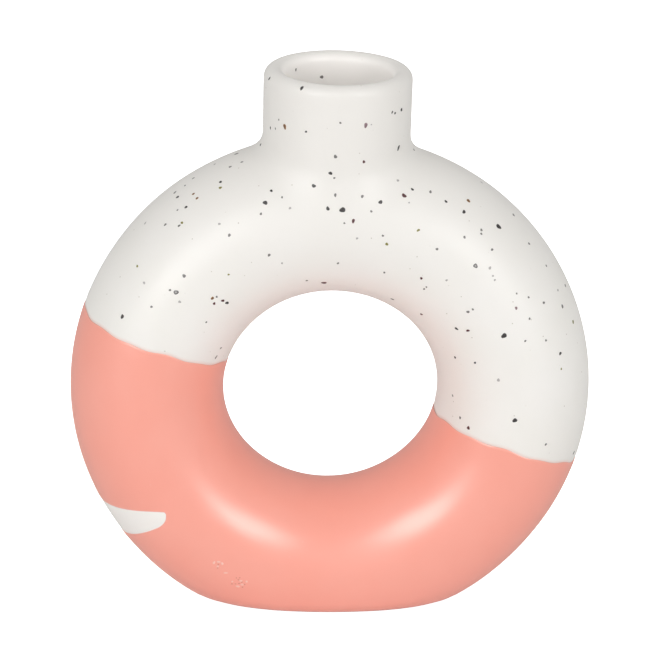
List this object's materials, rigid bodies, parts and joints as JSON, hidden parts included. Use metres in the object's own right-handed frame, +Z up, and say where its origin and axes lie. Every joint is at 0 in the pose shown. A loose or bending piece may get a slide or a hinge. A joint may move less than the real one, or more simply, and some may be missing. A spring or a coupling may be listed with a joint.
{
  "type": "vase",
  "caption": "Ring-shaped hollow ceramic vase on a flat foot, with a short round neck on top, a white glaze coat above a slanted coral dip and a small white half-moon patch.",
  "frame": {"origin": "centre of the foot, on the surface that the vase stands on", "axes": "+Z up the neck, +X to the right across the ring as the front is seen, +Y from the front to the back through the ring's hole"},
  "size_m": [0.1784, 0.058, 0.19],
  "materials": {
    "clay": "bare fired stoneware",
    "slip": "fired slip",
    "liner_glaze": "smooth satin glaze",
    "white_glaze": "satin white glaze with iron specks",
    "coral_glaze": "satin coral glaze"
  },
  "bodies": {
    "root": {"ring_front_half": "clay", "ring_back_half": "clay", "outer_seam_slip": "slip", "inner_seam_slip": "slip", "neck_collar": "clay", "liner_glaze": "liner_glaze", "white_glaze_coat": "white_glaze", "coral_dip_coat": "coral_glaze", "white_patch": "white_glaze"}
  },
  "joints": []
}
